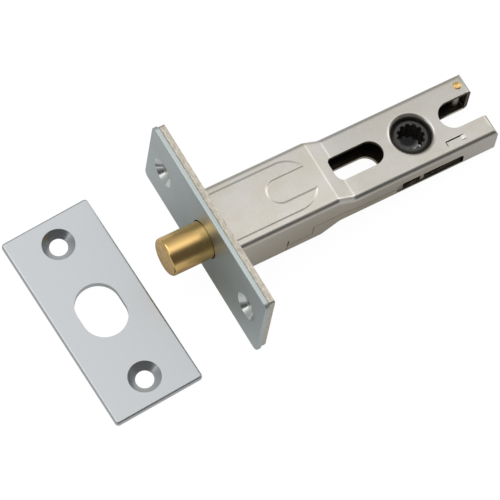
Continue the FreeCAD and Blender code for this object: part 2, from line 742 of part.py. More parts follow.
def make_strike_plate():
    """The strike plate, laid on the plane that the bolt's case rests on."""
    slab = box(
        -STRIKE_THICK, 0, -FACE_LENGTH / 2, FACE_LENGTH / 2, -FACE_WIDTH / 2, FACE_WIDTH / 2
    )
    slab = slab.makeFillet(STRIKE_CORNER, edges_where(slab, lambda p, e: along(e, X_AXIS)))
    rims = edges_where(slab, lambda p, e: min(abs(p.x), abs(p.x + STRIKE_THICK)) < NEAR)
    slab = slab.makeFillet(STRIKE_EDGE_ROUND, rims)
    sink = countersink(STRIKE_HEAD_DIA, SCREW_HOLE_DIA, 0.0, X_AXIS * -1)
    screws = [sink.translated(Vector(0, y, 0)) for y in screw_positions()]
    straight = (STRIKE_HOLE_LENGTH - STRIKE_HOLE_WIDTH) / 2
    radius = STRIKE_HOLE_WIDTH / 2
    keep = box(-BEYOND, BEYOND, -straight, straight, -radius, radius)
    keep = keep.fuse([rod_x(radius, -BEYOND, BEYOND, y) for y in (-straight, straight)])
    slab = slab.cut(screws + [keep.removeSplitter()])
    slab.rotate(Vector(0, 0, 0), Y_AXIS, -90)
    slab.rotate(Vector(0, 0, 0), Z_AXIS, STRIKE_TURN)
    slab.rotate(Vector(0, 0, 0), Y_AXIS, -rest_tilt())
    drop = STRIKE_THICK / math.cos(math.radians(rest_tilt()))
    z = rest_height(-STRIKE_AHEAD) + drop
    slab.translate(Vector(-STRIKE_AHEAD, STRIKE_SIDEWAYS, z))
    return slab


def rest_tilt():
    """How far the resting plane leans, in degrees: forend edge to case end."""
    rise = BACK_PLATE_WIDTH / 2 - BODY_TOP
    return math.degrees(math.atan2(rise, CASE_END - BEND_ROUND - PLATE_BACK))


def rest_height(x):
    """The height of the resting plane at a place along X."""
    return -BACK_PLATE_WIDTH / 2 + (x - PLATE_BACK) * math.tan(math.radians(rest_tilt()))


PARTS = {
    "cover_plate": make_cover_plate,
    "back_plate": make_back_plate,
    "top_shell": make_top_shell,
    "bottom_shell": make_bottom_shell,
    "rear_spacer": make_rear_spacer,
    "rear_rivet": make_rear_rivet,
    "guide_block": make_guide_block,
    "friction_spring": make_friction_spring,
    "strike_plate": make_strike_plate,
    "bolt": make_bolt,
    "bolt_rivet": make_bolt_rivet,
    "slide": make_slide,
    "follower": make_follower,
}


def main():
    os.makedirs("parts", exist_ok=True)
    for name, make in PARTS.items():
        shape = make()
        shape.exportStep(os.path.join("parts", name + ".step"))
        print(name, len(shape.Solids), "solid", shape.isValid(), round(shape.Volume, 2), "mm3")


main()
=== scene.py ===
"""The look of a mortice privacy bolt and its strike plate.

Every piece is finished on its own: satin chrome on the forend's cover,
nickel plate on the folded case, turned brass on the bolt and moulded nylon
in the follower. The stage is a white studio with the camera over the case.
"""

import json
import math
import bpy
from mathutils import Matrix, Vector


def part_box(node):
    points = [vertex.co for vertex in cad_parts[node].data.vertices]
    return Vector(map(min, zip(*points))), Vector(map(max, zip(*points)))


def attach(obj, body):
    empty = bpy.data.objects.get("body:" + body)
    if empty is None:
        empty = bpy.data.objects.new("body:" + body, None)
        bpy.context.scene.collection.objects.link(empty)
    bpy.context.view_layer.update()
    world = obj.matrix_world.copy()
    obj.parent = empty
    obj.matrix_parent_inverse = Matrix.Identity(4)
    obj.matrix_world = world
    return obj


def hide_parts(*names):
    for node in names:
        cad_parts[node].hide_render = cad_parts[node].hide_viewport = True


bl_info = {
    "name": "Privacy bolt",
    "version": (1, 0, 0),
    "blender": (4, 5, 0),
    "location": "View3D > Sidebar > Privacy bolt",
    "description": "Finishes the pieces of a mortice privacy bolt and lights them on a white floor",
    "category": "Object",
}

import bmesh
import bpy
from bpy.props import FloatProperty, FloatVectorProperty, IntProperty, PointerProperty
from mathutils import Matrix, Vector
from mathutils.bvhtree import BVHTree

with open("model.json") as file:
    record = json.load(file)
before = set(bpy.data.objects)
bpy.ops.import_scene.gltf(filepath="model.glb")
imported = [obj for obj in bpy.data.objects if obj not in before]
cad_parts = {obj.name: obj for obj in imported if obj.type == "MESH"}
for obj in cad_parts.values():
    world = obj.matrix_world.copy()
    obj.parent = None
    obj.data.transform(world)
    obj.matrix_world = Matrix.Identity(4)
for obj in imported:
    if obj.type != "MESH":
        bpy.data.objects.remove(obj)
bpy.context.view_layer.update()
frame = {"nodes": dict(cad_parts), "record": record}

MM = 0.001
MERGE_DISTANCE = 1e-6
# edges that turn by more than this stay sharp
SHARP_ANGLE = math.radians(32)
# faces that turn by less than this belong to one flat
FLAT_COSINE = math.cos(math.radians(0.6))
# more than the sheet's thickness, and less than what lies behind a cut edge
SHEET_LIMIT = 1.3 * MM
# round the follower, within this radius, the shell keeps its plating
COLLAR_REACH = 6 * MM
# a countersink ends within this radius of its screw
SINK_REACH = 5.2 * MM
# how much of a normal makes a face look along an axis, inward or up, and stand on end
ALONG_AXIS = 0.95
LOOKS_IN = 0.2
LOOKS_UP = 0.99
STANDS_UP = 0.5
# the back plate's holes lie within these shares of its half width: across it and along it
HOLES_ACROSS = 0.45
HOLES_ALONG = 1.95

BODIES = frame["record"]["behaviour"]["bodies"]
BODY_OF = {node: body for body, nodes in BODIES.items() for node in nodes}
SLOT_OF = {row["node"]: row["material_slot"] for row in frame["record"]["subparts"]}
MOUNTS = {mount["name"]: mount for mount in frame["record"]["mounts"]}
HUB = Vector(MOUNTS["spindle_socket"]["pos_m"])
# a pressed sheet's wide face is crowned a little: how far its normals lean out at the sides
CROWN = math.tan(math.radians(2.5))
# painted shade: the plating's colour is darker on the slim body behind the ramp
TAIL_SHADE_FROM = 35 * MM
TAIL_SHADE_TO = 44 * MM
TAIL_PAINTED_SHADE = 0.88
# the lanced tab springs back up: the box round it, and the lift at its front and at its foot
TAB_LOW = Vector((66.6, -7.4, 2.0)) * MM
TAB_HIGH = Vector((70.6, -6.1, 4.6)) * MM
TAB_FRONT_LIFT = 0.45 * MM
TAB_FOOT_LIFT = 0.2 * MM
# the bolt's hole in the cover: what lies within this radius comes this much closer to the bolt
BOLT_HOLE_REACH = 6.2 * MM
BOLT_HOLE_CLOSED = 0.25 * MM
# noise lies about one half, and is cut off at these values
NOISE_LOW, NOISE_HIGH = 0.3, 0.7
# cloudy patches are shorter across the sheet by this factor
PATCH_ACROSS = 0.6
# the grain of oil on bare steel, in grains of the plating
OIL_GRAIN = 2
# the spacing of tear lines along X, Y and Z, in spacings of the lines
TEAR_SHAPE = (1, 3, 1.5)
# a spacing much longer than the part, in metres: no change that way
UNCHANGED = 1.0
# the first faced ring's radius, in pitches
FIRST_RING = 0.7
# how deep a ring's middle lies in the bolt's end, and a rim's middle in the rivet's head,
# in thicknesses
RING_SUNK = 0.35
RIM_SUNK = 0.45
# flats round a ring, and round its section
RING_FLATS = 96
SECTION_FLATS = 8


def linear(hex_colour):
    """An sRGB hex value such as #CFCCC6 as linear red, green and blue."""
    channels = [int(hex_colour[i : i + 2], 16) / 255 for i in (1, 3, 5)]
    return [c / 12.92 if c <= 0.04045 else ((c + 0.055) / 1.055) ** 2.4 for c in channels]


def colour_prop(name, description, default):
    """A colour of the panel, from its sRGB hex value."""
    return FloatVectorProperty(
        name=name,
        description=description,
        subtype="COLOR",
        size=3,
        min=0,
        max=1,
        default=linear(default),
    )


def length_prop(name, description, default):
    """A length of the panel, in metres."""
    return FloatProperty(
        name=name, description=description, default=default, min=0, precision=5, unit="LENGTH"
    )


class PrivacyBoltColours(bpy.types.PropertyGroup):
    """The colours of the finishes."""

    chrome: colour_prop("Satin chrome", "Cover of the forend", "#C2CBCA")
    cut_chrome: colour_prop("Polished chrome", "Countersinks of the cover", "#DDE2E1")
    nickel: colour_prop("Nickel plate", "Folded case", "#D2CFC9")
    nickel_warm: colour_prop("Warm nickel plate", "Patches in the case's plating", "#CDC8BC")
    # oiled steel, darkened further as painted shade for the shade inside the case
    inside: colour_prop("Bare steel, oil and painted shade", "Inside of the case, and what is cut through it", "#6A6154")
    sheared: colour_prop("Sheared steel", "Edges of the back plate", "#DFDACE")
    sheared_dark: colour_prop("Sheared steel, dark", "Tear lines in the sheared edges", "#AAA190")
    stainless: colour_prop("Satin stainless", "Strike plate", "#C4C7C9")
    brass: colour_prop("Brass", "Bolt and rear rivet", "#ECC783")
    brass_dark: colour_prop("Brass, tarnished", "Tool marks on the bolt", "#C09458")
    zinc: colour_prop("Zinc plate", "Stop lugs, spacer and hidden rivet", "#B4AEA2")
    spring: colour_prop("Blued steel", "Friction spring", "#4A4C55")
    nylon: colour_prop("Black nylon", "Follower and guide block", "#33312D")


class PrivacyBoltSizes(bpy.types.PropertyGroup):
    """The sizes of the surface marks."""

    # brush lines, grain, tear lines, lathe marks and faced rings are finer on the real part:
    # each is drawn as coarse as it needs to show at the photograph's size
    brush_line: length_prop("Brush line", "Spacing of the satin brush lines", 0.35 * MM)
    brush_run: length_prop("Brush run", "Length of one brush line", 9 * MM)
    plate_grain: length_prop("Plating grain", "Size of the grain in the nickel plate", 0.45 * MM)
    plate_patch: length_prop("Plating patch", "Size of the cloudy patches in the plate", 9 * MM)
    turning_pitch: length_prop("Turning pitch", "Spacing of the lathe marks on the bolt", 0.45 * MM)
    ring_pitch: length_prop("Ring pitch", "Spacing of the rings faced on the bolt's end", 0.62 * MM)
    ring_thick: length_prop("Ring thickness", "Thickness of one faced ring", 0.1 * MM)
    faced_pitch: length_prop("Facing pitch", "Spacing of fine marks on the bolt's end", 0.28 * MM)
    rivet_ring: length_prop("Rivet ring", "Radius of the rolled rim on the rear rivet", 0.82 * MM)
    rivet_rim: length_prop("Rivet rim", "Thickness of the rolled rim on the rear rivet", 0.42 * MM)
    ring_count: IntProperty(
        name="Ring count", description="Rings faced on the bolt's end", default=6, min=1
    )
    tear_line: length_prop("Tear line", "Spacing of the lines in a sheared edge", 0.4 * MM)
    nylon_grain: length_prop("Nylon grain", "Size of the grain in moulded nylon", 0.35 * MM)


def colours():
    """The colours of the panel."""
    return bpy.context.scene.privacy_bolt_colours


def sizes():
    """The sizes of the panel."""
    return bpy.context.scene.privacy_bolt_sizes


def add_node(tree, kind, inputs=None, links=None, **settings):
    """Adds one node with its settings, its input values and what feeds it."""
    node = tree.nodes.new(kind)
    for name, value in settings.items():
        setattr(node, name, value)
    for key, value in (inputs or {}).items():
        node.inputs[key].default_value = value
    for key, socket in (links or {}).items():
        tree.links.new(socket, node.inputs[key])
    return node


def opaque(colour):
    """A colour with its alpha at 1."""
    return (*colour[:3], 1.0)


def new_material(name):
    """A material with an empty node tree."""
    mat = bpy.data.materials.new(name)
    mat.use_nodes = True
    mat.node_tree.nodes.clear()
    return mat


def cycles_per_metre(*spacings):
    """Texture scale along each axis for marks of these spacings."""
    return tuple(1 / s for s in spacings)


def noise_on(tree, spacings, detail=3.0, roughness=0.55):
    """Noise on Object coordinates, stretched to a spacing along each axis."""
    place = add_node(tree, "ShaderNodeTexCoord")
    mapping = add_node(
        tree,
        "ShaderNodeMapping",
        inputs={"Scale": cycles_per_metre(*spacings)},
        links={"Vector": place.outputs["Object"]},
    )
    noise = add_node(
        tree,
        "ShaderNodeTexNoise",
        inputs={"Scale": 1.0, "Detail": detail, "Roughness": roughness},
        links={"Vector": mapping.outputs["Vector"]},
    )
    return noise.outputs["Fac"]


def noise_round_x(tree, spacing):
    """Noise that changes with the distance from the X axis only, as rings."""
    place = add_node(tree, "ShaderNodeTexCoord")
    flat = add_node(
        tree,
        "ShaderNodeVectorMath",
        operation="MULTIPLY",
        inputs={1: (0, 1, 1)},
        links={0: place.outputs["Object"]},
    )
    radius = add_node(
        tree, "ShaderNodeVectorMath", operation="LENGTH", links={0: flat.outputs["Vector"]}
    )
    noise = add_node(
        tree,
        "ShaderNodeTexNoise",
        noise_dimensions="1D",
        inputs={"Scale": 1 / spacing, "Detail": 1.0},
        links={"W": radius.outputs["Value"]},
    )
    return noise.outputs["Fac"]


def spread(tree, socket, low, high):
    """Turns noise about one half into a value from low to high."""
    node = add_node(
        tree,
        "ShaderNodeMapRange",
        inputs={"From Min": NOISE_LOW, "From Max": NOISE_HIGH, "To Min": low, "To Max": high},
        links={"Value": socket},
    )
    return node.outputs["Result"]


def blend_colour(tree, factor, first, second):
    """The first colour where the factor is 0, and the second where it is 1."""
    node = add_node(
        tree,
        "ShaderNodeMix",
        data_type="RGBA",
        inputs={6: opaque(first), 7: opaque(second)},
        links={0: factor},
    )
    return node.outputs[2]


def darkened(tree, noise, base, darkest):
    """A base colour, darker by up to a factor where the noise is low."""
    return blend_colour(tree, spread(tree, noise, 0.0, 1.0), [c * darkest for c in base], base)


def shaded(tree, factor, colour):
    """A colour from a socket, made lighter or darker by a factor."""
    node = add_node(
        tree, "ShaderNodeVectorMath", operation="SCALE", links={"Scale": factor, 0: colour}
    )
    return node.outputs["Vector"]


def finish_surface(mat, colour, roughness, height, depth, metallic=1.0, **sockets):
    """Closes a material: bump of a depth, shader and output."""
    tree = mat.node_tree
    bump = add_node(
        tree,
        "ShaderNodeBump",
        inputs={"Strength": 1.0, "Distance": depth},
        links={"Height": height},
    )
    shader = add_node(
        tree,
        "ShaderNodeBsdfPrincipled",
        inputs={"Metallic": metallic, **sockets},
        links={"Base Color": colour, "Roughness": roughness, "Normal": bump.outputs["Normal"]},
    )
    add_node(tree, "ShaderNodeOutputMaterial", links={"Surface": shader.outputs["BSDF"]})
    return mat


def satin_chrome():
    """Chrome plate over brushed steel: cool grey, with fine lines along its length."""
    mat = new_material("satin_chrome_plate")
    tree, size = mat.node_tree, sizes()
    lines = noise_on(tree, (size.brush_line, size.brush_run, size.brush_line))
    cloud = noise_on(tree, (size.plate_patch,) * 3, detail=1.0)
    colour = darkened(tree, cloud, colours().chrome, darkest=0.94)
    return finish_surface(
        mat, colour, roughness=spread(tree, lines, 0.42, 0.5), height=lines, depth=0.012 * MM
    )


def polished_chrome():
    """Chrome over the cutter's smooth cone: nearly a mirror."""
    mat = new_material("polished_chrome_plate")
    tree, size = mat.node_tree, sizes()
    cloud = noise_on(tree, (size.plate_patch,) * 3, detail=1.0)
    colour = darkened(tree, cloud, colours().cut_chrome, darkest=0.94)
    return finish_surface(
        mat, colour, roughness=spread(tree, cloud, 0.12, 0.16), height=cloud, depth=0.002 * MM
    )


def nickel_plate():
    """Nickel on pressed sheet: pale and warm, with a fine grain, cloudy patches and painted shade
    towards the tail.
    """
    mat = new_material("nickel_plated_sheet")
    tree, size = mat.node_tree, sizes()
    grain = noise_on(tree, (size.plate_grain,) * 3, detail=4.0)
    patch = size.plate_patch
    cloud = noise_on(tree, (patch, patch * PATCH_ACROSS, patch), detail=2.0)
    warmth = spread(tree, cloud, 0.0, 1.0)
    patches = blend_colour(tree, warmth, colours().nickel, colours().nickel_warm)
    grained = shaded(tree, spread(tree, grain, 0.94, 1.02), patches)
    place = add_node(tree, "ShaderNodeTexCoord")
    along = add_node(tree, "ShaderNodeSeparateXYZ", links={"Vector": place.outputs["Object"]})
    # painted shade: darker towards the tail
    tail = add_node(
        tree,
        "ShaderNodeMapRange",
        interpolation_type="SMOOTHSTEP",
        inputs={"From Min": TAIL_SHADE_FROM, "From Max": TAIL_SHADE_TO, "To Min": 1.0, "To Max": TAIL_PAINTED_SHADE},
        links={"Value": along.outputs["X"]},
    )
    colour = shaded(tree, tail.outputs["Result"], grained)
    return finish_surface(
        mat, colour, roughness=spread(tree, cloud, 0.3, 0.38), height=grain, depth=0.014 * MM
    )


def oil_and_shade_steel():
    """Bare steel, dark with oil and with painted shade: the case's inside, the edges cut through it
    and the slide.
    """
    mat = new_material("bare_steel_oil_and_painted_shade")
    tree, size = mat.node_tree, sizes()
    grain = noise_on(tree, (size.plate_grain * OIL_GRAIN,) * 3, detail=4.0)
    colour = darkened(tree, grain, colours().inside, darkest=0.7)
    return finish_surface(
        mat, colour, roughness=spread(tree, grain, 0.45, 0.6), height=grain, depth=0.01 * MM
    )


def sheared_steel():
    """Plate cut on a press: beige nickel with tear lines along its edges."""
    mat = new_material("sheared_nickel_steel")
    tree, size = mat.node_tree, sizes()
    spacings = [size.tear_line * part for part in TEAR_SHAPE]
    tears = noise_on(tree, spacings, detail=5.0, roughness=0.7)
    torn = spread(tree, tears, 0.0, 1.0)
    colour = blend_colour(tree, torn, colours().sheared_dark, colours().sheared)
    return finish_surface(
        mat, colour, roughness=spread(tree, tears, 0.5, 0.4), height=tears, depth=0.04 * MM
    )


def satin_stainless():
    """Brushed stainless steel: light and even, with faint lines along its length."""
    mat = new_material("satin_stainless_steel")
    tree, size = mat.node_tree, sizes()
    lines = noise_on(tree, (size.brush_line, size.brush_run, size.brush_line))
    colour = darkened(tree, lines, colours().stainless, darkest=0.96)
    return finish_surface(
        mat, colour, roughness=spread(tree, lines, 0.36, 0.42), height=lines, depth=0.006 * MM
    )


def cut_stainless():
    """Stainless steel left bright and smooth by the countersink cutter."""
    mat = new_material("cut_stainless_steel")
    tree, size = mat.node_tree, sizes()
    cloud = noise_on(tree, (size.plate_patch,) * 3, detail=1.0)
    colour = darkened(tree, cloud, colours().stainless, darkest=0.9)
    return finish_surface(
        mat, colour, roughness=spread(tree, cloud, 0.24, 0.3), height=cloud, depth=0.002 * MM
    )


def turned_brass():
    """Brass from the lathe, lightly polished: warm yellow, with faint rings round the axis."""
    mat = new_material("turned_brass")
    tree, size = mat.node_tree, sizes()
    turned = noise_on(tree, (size.turning_pitch, UNCHANGED, UNCHANGED), detail=1.0)
    cloud = noise_on(tree, (size.plate_patch,) * 3, detail=2.0)
    tarnish = spread(tree, cloud, 0.0, 0.5)
    colour = blend_colour(tree, tarnish, colours().brass, colours().brass_dark)
    return finish_surface(
        mat, colour, roughness=spread(tree, turned, 0.2, 0.24), height=turned, depth=0.0004 * MM
    )


def faced_brass():
    """The bolt's end, faced square: fine rings round its middle catch the light."""
    mat = new_material("faced_brass")
    tree, size = mat.node_tree, sizes()
    rings = noise_round_x(tree, size.faced_pitch)
    tarnish = spread(tree, rings, 0.0, 0.5)
    colour = blend_colour(tree, tarnish, colours().brass, colours().brass_dark)
    return finish_surface(
        mat, colour, roughness=spread(tree, rings, 0.25, 0.35), height=rings, depth=0.06 * MM
    )


def zinc_plate():
    """Zinc on steel: duller and greyer than nickel, with a fine grain."""
    mat = new_material("zinc_plated_steel")
    tree, size = mat.node_tree, sizes()
    grain = noise_on(tree, (size.plate_grain,) * 3)
    colour = darkened(tree, grain, colours().zinc, darkest=0.85)
    return finish_surface(
        mat, colour, roughness=spread(tree, grain, 0.38, 0.5), height=grain, depth=0.01 * MM
    )


def blued_steel():
    """Hardened spring strip: dark blue-grey, drawn along its length."""
    mat = new_material("blued_spring_steel")
    tree, size = mat.node_tree, sizes()
    lines = noise_on(tree, (size.brush_run, size.brush_line, size.brush_line))
    colour = darkened(tree, lines, colours().spring, darkest=0.8)
    return finish_surface(
        mat, colour, roughness=spread(tree, lines, 0.3, 0.4), height=lines, depth=0.005 * MM
    )


def moulded_nylon():
    """Black nylon from the mould: near black, softly glossy on its edges."""
    mat = new_material("moulded_black_nylon")
    tree, size = mat.node_tree, sizes()
    grain = noise_on(tree, (size.nylon_grain,) * 3)
    colour = darkened(tree, grain, colours().nylon, darkest=0.7)
    return finish_surface(
        mat,
        colour,
        roughness=spread(tree, grain, 0.3, 0.4),
        height=grain,
        depth=0.01 * MM,
        metallic=0.0,
        IOR=1.53,
    )


def shared_material(make):
    """The material that a function makes, made once."""
    key = make.__name__
    if key not in shared_material.made:
        shared_material.made[key] = make()
    return shared_material.made[key]


shared_material.made = {}


def link_piece(name, mesh, body):
    """Puts a finished mesh in the scene and ties it to its body."""
    piece = bpy.data.objects.new(name, mesh)
    bpy.context.scene.collection.objects.link(piece)
    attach(piece, body)
    return piece


def flat_regions(shape):
    """For each face, the number of the flat region that it belongs to, with each region's area."""
    region = [-1] * len(shape.faces)
    areas = []
    for seed in shape.faces:
        if region[seed.index] >= 0:
            continue
        number, area, stack = len(areas), 0.0, [seed]
        region[seed.index] = number
        while stack:
            face = stack.pop()
            area += face.calc_area()
            for edge in face.edges:
                for other in edge.link_faces:
                    if region[other.index] < 0 and other.normal.dot(seed.normal) > FLAT_COSINE:
                        region[other.index] = number
                        stack.append(other)
        areas.append(area)
    return region, areas


def corner_normals(shape):
    """A normal for each corner, in which the largest flat face at a vertex has the most say.

    A flat face that meets a small round then stays flat right up to it.
    """
    region, areas = flat_regions(shape)
    normals = [None] * sum(len(face.loops) for face in shape.faces)
    for vert in shape.verts:
        left = set(vert.link_faces)
        while left:
            group, stack = [], [left.pop()]
            while stack:
                face = stack.pop()
                group.append(face)
                for edge in face.edges:
                    if vert not in edge.verts or edge.calc_face_angle(math.pi) > SHARP_ANGLE:
                        continue
                    for other in edge.link_faces:
                        if other in left:
                            left.discard(other)
                            stack.append(other)
            shares = {region[face.index]: face.normal for face in group}
            total = sum((normal * areas[number] for number, normal in shares.items()), Vector())
            for face in group:
                for loop in face.loops:
                    if loop.vert is vert:
                        normals[loop.index] = total.normalized()
    return normals


def inner_skin(shape):
    """The faces of a folded shell that look inward, but not the follower's collar.

    A face of the sheet has its other side one sheet behind it; a cut edge has far more.
    """
    solid = BVHTree.FromBMesh(shape)
    found = set()
    for face in shape.faces:
        centre = face.calc_center_median()
        outward = Vector((0, centre.y, centre.z)).normalized()
        behind = solid.ray_cast(centre - face.normal * MERGE_DISTANCE, -face.normal)[3]
        if behind is None or behind >= SHEET_LIMIT:
            continue
        in_collar = (centre.xy - HUB.xy).length < COLLAR_REACH and centre.z > HUB.z
        if face.normal.dot(outward) < -LOOKS_IN and not in_collar:
            found.add(face.index)
    return found


def inside_faces(shape):
    """The inner skin of the top shell, and the edges cut through its sheet that look inward."""
    tail = max(vert.co.x for vert in shape.verts)
    found = inner_skin(shape)
    for face in shape.faces:
        centre = face.calc_center_median()
        outward = Vector((0, centre.y, centre.z)).normalized()
        upright = abs(face.normal.z) < STANDS_UP and centre.x < tail - MERGE_DISTANCE
        in_collar = (centre.xy - HUB.xy).length < COLLAR_REACH
        if upright and face.normal.dot(outward) < LOOKS_IN and not in_collar:
            found.add(face.index)
    return found


def lug_faces(shape):
    """What stands up from the slide's flat plate."""
    low = min(vert.co.z for vert in shape.verts)
    return {face.index for face in shape.faces if face.calc_center_median().z > low + SHEET_LIMIT}


def end_faces(shape):
    """What looks straight out of the bolt's free end."""
    return {face.index for face in shape.faces if face.normal.x < -ALONG_AXIS}


def cone_faces(shape, mount):
    """The cones that the screw heads sit in, at both screws of a mount.

    The screws of the strike plate are as far apart as those of the forend.
    """
    middle, axis = Vector(MOUNTS[mount]["pos_m"]), Vector(MOUNTS[mount]["axis"])
    half = Vector((0, MOUNTS["forend_screws"]["dims"]["spacing_x_mm"] / 2 * MM, 0))
    found = set()
    for face in shape.faces:
        centre = face.calc_center_median()
        for screw in (middle + half, middle - half):
            from_axis = (centre - screw).cross(axis).length
            if from_axis < SINK_REACH and abs(face.normal.dot(axis)) < ALONG_AXIS:
                found.add(face.index)
    return found


def cover_cones(shape):
    """The countersinks of the forend's cover."""
    return cone_faces(shape, "forend_screws")


def strike_cones(shape):
    """The countersinks of the strike plate."""
    return cone_faces(shape, "strike_screws")


def hole_faces(shape):
    """The walls of the holes through a plate that stands across X."""
    half = max(vert.co.z for vert in shape.verts)
    found = set()
    for face in shape.faces:
        centre = face.calc_center_median()
        inside = abs(centre.z) < half * HOLES_ACROSS and abs(centre.y) < half * HOLES_ALONG
        if inside and abs(face.normal.x) < ALONG_AXIS:
            found.add(face.index)
    return found


def crown_normals(shape, normals):
    """Leans the normals that look up outwards, as on a sheet that is slightly crowned."""
    half = max(abs(vert.co.y) for vert in shape.verts)
    for face in shape.faces:
        for loop in face.loops:
            up = normals[loop.index]
            if up.z > LOOKS_UP:
                lean = Vector((0, CROWN * loop.vert.co.y / half, 0))
                normals[loop.index] = (up + lean).normalized()
    return normals


def close_bolt_hole(shape):
    """Brings the edge of the bolt's hole nearer to the bolt, as the fit shows in the plate."""
    for vert in shape.verts:
        radius = math.hypot(vert.co.y, vert.co.z)
        if radius < BOLT_HOLE_REACH:
            vert.co.y *= 1 - BOLT_HOLE_CLOSED / radius
            vert.co.z *= 1 - BOLT_HOLE_CLOSED / radius


def lift_tab(shape):
    """Lets the lanced tab spring back up, so that only a dark slit shows beside it."""
    for vert in shape.verts:
        place = vert.co
        if all(low < value < high for low, value, high in zip(TAB_LOW, place, TAB_HIGH)):
            share = (TAB_HIGH.x - place.x) / (TAB_HIGH.x - TAB_LOW.x)
            place.z += TAB_FOOT_LIFT + (TAB_FRONT_LIFT - TAB_FOOT_LIFT) * share


def smooth_copy(node, make, second=None, chosen=None, reshape=None, crowned=False):
    """A copy of a node with its faces joined, its curves shaded smooth and its finish on.

    Faces that the function chosen picks get the second finish.
    """
    mesh = frame["nodes"][node].data.copy()
    shape = bmesh.new()
    shape.from_mesh(mesh)
    bmesh.ops.remove_doubles(shape, verts=shape.verts, dist=MERGE_DISTANCE)
    bmesh.ops.dissolve_degenerate(shape, edges=shape.edges, dist=MERGE_DISTANCE)
    if reshape:
        reshape(shape)
    for face in shape.faces:
        face.smooth = True
        face.material_index = 0
    shape.to_mesh(mesh)
    shape.free()
    # read back, so that its faces and corners are numbered as the mesh's
    shape = bmesh.new()
    shape.from_mesh(mesh)
    shape.normal_update()
    normals = corner_normals(shape)
    mesh.normals_split_custom_set(crown_normals(shape, normals) if crowned else normals)
    picked = chosen(shape) if chosen else ()
    shape.free()
    mesh.materials.clear()
    mesh.materials.append(shared_material(make))
    if picked:
        mesh.materials.append(shared_material(second))
    for index in picked:
        mesh.polygons[index].material_index = 1
    piece = link_piece(node + "_finished", mesh, BODY_OF[node])
    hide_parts(node)
    return piece


def tree_input(tree, name, socket_type, default):
    """Adds a named input to a geometry node tree and returns its identifier."""
    item = tree.interface.new_socket(name, in_out="INPUT", socket_type=socket_type)
    item.default_value = default
    return item.identifier


def ring_tree(material):
    """Rings of growing radius in the YZ plane, as geometry nodes."""
    tree = bpy.data.node_groups.new("faced_rings", "GeometryNodeTree")
    tree.is_modifier = True
    tree.interface.new_socket("Geometry", in_out="OUTPUT", socket_type="NodeSocketGeometry")
    size = sizes()
    count = tree_input(tree, "Count", "NodeSocketInt", size.ring_count)
    pitch = tree_input(tree, "Pitch", "NodeSocketFloat", size.ring_pitch)
    thick = tree_input(tree, "Thickness", "NodeSocketFloat", size.ring_thick)
    face = tree_input(tree, "Face", "NodeSocketFloat", 0.0)
    given = add_node(tree, "NodeGroupInput")
    at_face = add_node(tree, "ShaderNodeCombineXYZ", links={"X": given.outputs["Face"]})
    points = add_node(
        tree,
        "GeometryNodeMeshLine",
        links={"Count": given.outputs["Count"], "Start Location": at_face.outputs["Vector"]},
        inputs={"Offset": (0, 0, 0)},
    )
    index = add_node(tree, "GeometryNodeInputIndex")
    order = add_node(
        tree,
        "ShaderNodeMath",
        operation="ADD",
        inputs={1: FIRST_RING},
        links={0: index.outputs["Index"]},
    )
    radius = add_node(
        tree,
        "ShaderNodeMath",
        operation="MULTIPLY",
        links={0: order.outputs["Value"], 1: given.outputs["Pitch"]},
    )
    circle = add_node(
        tree,
        "GeometryNodeCurvePrimitiveCircle",
        inputs={"Resolution": RING_FLATS, "Radius": 1.0},
    )
    scale = add_node(
        tree, "ShaderNodeCombineXYZ", links={axis: radius.outputs["Value"] for axis in "XYZ"}
    )
    rings = add_node(
        tree,
        "GeometryNodeInstanceOnPoints",
        inputs={"Rotation": (0, math.radians(90), 0)},
        links={
            "Points": points.outputs["Mesh"],
            "Instance": circle.outputs["Curve"],
            "Scale": scale.outputs["Vector"],
        },
    )
    real = add_node(
        tree, "GeometryNodeRealizeInstances", links={"Geometry": rings.outputs["Instances"]}
    )
    half = add_node(
        tree,
        "ShaderNodeMath",
        operation="MULTIPLY",
        inputs={1: 0.5},
        links={0: given.outputs["Thickness"]},
    )
    section = add_node(
        tree,
        "GeometryNodeCurvePrimitiveCircle",
        inputs={"Resolution": SECTION_FLATS},
        links={"Radius": half.outputs["Value"]},
    )
    tube = add_node(
        tree,
        "GeometryNodeCurveToMesh",
        links={"Curve": real.outputs["Geometry"], "Profile Curve": section.outputs["Curve"]},
    )
    finish = add_node(
        tree,
        "GeometryNodeSetMaterial",
        inputs={"Material": material},
        links={"Geometry": tube.outputs["Mesh"]},
    )
    add_node(tree, "NodeGroupOutput", links={"Geometry": finish.outputs["Geometry"]})
    return tree, {"count": count, "pitch": pitch, "thick": thick, "face": face}


def mesh_from_tree(name, tree, values, body, place=None):
    """Runs a geometry node tree and keeps its result as a plain mesh, moved to its place."""
    holder = bpy.data.objects.new(name + "_maker", bpy.data.meshes.new(name + "_maker"))
    bpy.context.scene.collection.objects.link(holder)
    modifier = holder.modifiers.new(name, "NODES")
    modifier.node_group = tree
    for identifier, value in values.items():
        modifier[identifier] = value
    bpy.context.view_layer.update()
    graph = bpy.context.evaluated_depsgraph_get()
    mesh = bpy.data.meshes.new_from_object(holder.evaluated_get(graph), depsgraph=graph)
    mesh.name = name
    holder.modifiers.remove(modifier)
    bpy.data.objects.remove(holder)
    if place:
        mesh.transform(place)
    for face in mesh.polygons:
        face.use_smooth = True
    return link_piece(name, mesh, body)


class PieceOperator:
    """What every piece's operator shares."""

    bl_options = {"REGISTER", "UNDO"}


class PRIVACYBOLT_OT_forend(PieceOperator, bpy.types.Operator):
    """Finish the forend: satin chrome cover over a sheared steel back plate"""

    bl_idname = "privacybolt.forend"
    bl_label = "Forend"

    def execute(self, context):
        smooth_copy(
            "cover_plate", satin_chrome, polished_chrome, cover_cones, reshape=close_bolt_hole
        )
        smooth_copy("back_plate", sheared_steel, nickel_plate, hole_faces)
        return {"FINISHED"}


